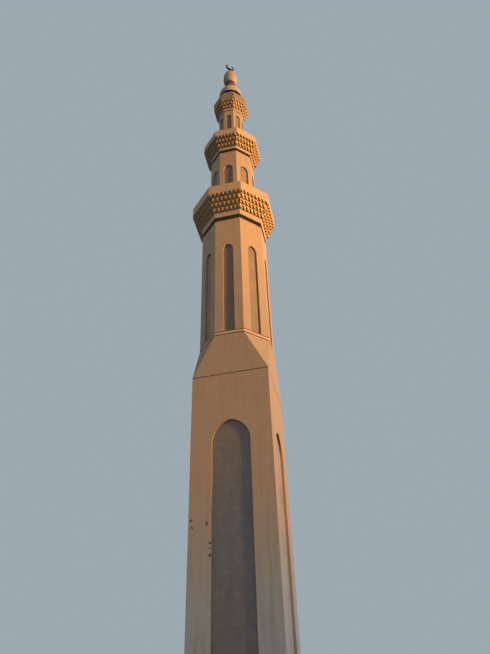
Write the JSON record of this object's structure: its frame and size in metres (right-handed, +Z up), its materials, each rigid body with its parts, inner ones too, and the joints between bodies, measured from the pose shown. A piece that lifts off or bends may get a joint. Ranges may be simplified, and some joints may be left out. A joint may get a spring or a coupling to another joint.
{
  "type": "minaret",
  "caption": "Tall three-stage minaret: square base with pointed blind niches, broach to eight-sided shafts, corbelled galleries, bell cap, bulb and crescent.",
  "frame": {"origin": "on the underside of the ground floor slab, at the centre of the square base, level with the ground", "axes": "+Z up along the tower's axis, -Y out of the base's front side, +X to the right seen from the front"},
  "size_m": [3.516, 3.516, 39.5044],
  "materials": {
    "render": "painted cement render, matt",
    "niche_render": "unpainted grey cement render, matt",
    "stonework": "painted cast stone, matt",
    "cream_render": "painted render, matt",
    "dark_render": "dark painted render, matt",
    "concrete": "floated concrete, matt",
    "dark_metal": "dark weathered metal"
  },
  "bodies": {
    "root": {"floor_slab": "concrete", "base_wall_front": "render", "base_wall_right": "render", "base_wall_back": "render", "base_wall_left": "render", "base_inner_leaf": "niche_render", "broach": "render", "string_course": "stonework", "shaft_1_wall_front": "render", "shaft_1_wall_front_right": "render", "shaft_1_wall_right": "render", "shaft_1_wall_back_right": "render", "shaft_1_wall_back": "render", "shaft_1_wall_back_left": "render", "shaft_1_wall_left": "render", "shaft_1_wall_front_left": "render", "shaft_1_inner_leaf": "niche_render", "balcony_1_neck": "render", "balcony_1_slab": "stonework", "balcony_1_corbel": "stonework", "balcony_1_parapet": "stonework", "shaft_2_wall_front": "render", "shaft_2_wall_front_right": "render", "shaft_2_wall_right": "render", "shaft_2_wall_back_right": "render", "shaft_2_wall_back": "render", "shaft_2_wall_back_left": "render", "shaft_2_wall_left": "render", "shaft_2_wall_front_left": "render", "shaft_2_inner_leaf": "niche_render", "balcony_2_neck": "render", "balcony_2_slab": "stonework", "balcony_2_corbel": "stonework", "balcony_2_parapet": "stonework", "shaft_3_wall": "render", "shaft_3_inner_leaf": "niche_render", "crown_neck": "render", "crown_slab": "stonework", "crown_corbel": "stonework", "crown_skirt": "render", "bell_cap": "cream_render", "finial_neck": "dark_render", "finial_bulb": "cream_render", "crescent": "dark_metal"}
  },
  "joints": []
}
